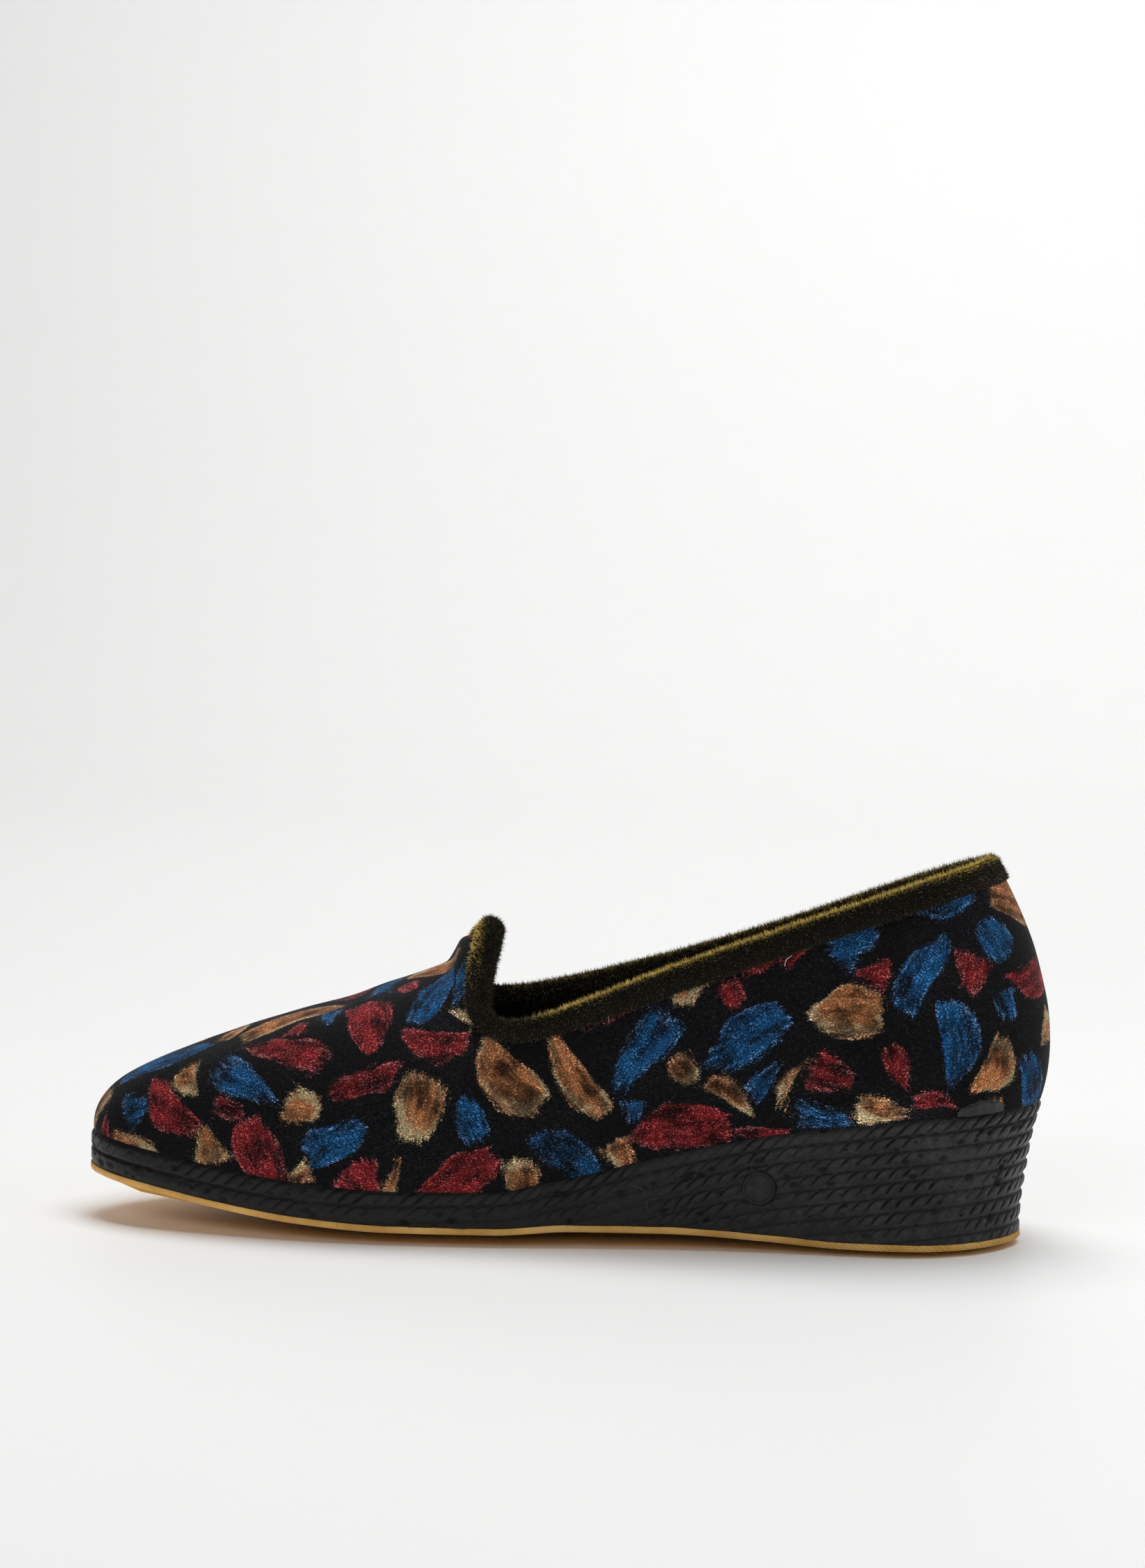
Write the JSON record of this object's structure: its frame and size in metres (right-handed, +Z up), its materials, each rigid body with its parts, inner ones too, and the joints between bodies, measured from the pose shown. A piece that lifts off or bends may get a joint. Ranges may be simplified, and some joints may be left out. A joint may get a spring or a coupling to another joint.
{
  "type": "house slipper",
  "caption": "House slipper with an almond toe, soft patterned upper, bound collar rising to a low tab over the instep, and a ribbed wedge sole.",
  "frame": {"origin": "on the floor under the middle of the overall box", "axes": "+X from toe to heel, +Y from the inner to the outer side of the right foot, +Z up"},
  "size_m": [0.2622, 0.0857, 0.103],
  "materials": {
    "outsole_rubber": "matte ochre",
    "wedge_rubber": "satin charcoal, moulded ribs",
    "insole_cloth": "dark brushed cloth over foam",
    "velvet": "short pile velvet with a many-coloured print on black",
    "plush": "dark olive plush"
  },
  "bodies": {
    "root": {"outsole": "outsole_rubber", "wedge_sole": "wedge_rubber", "insole": "insole_cloth", "upper": "velvet", "collar_binding": "plush"}
  },
  "joints": []
}
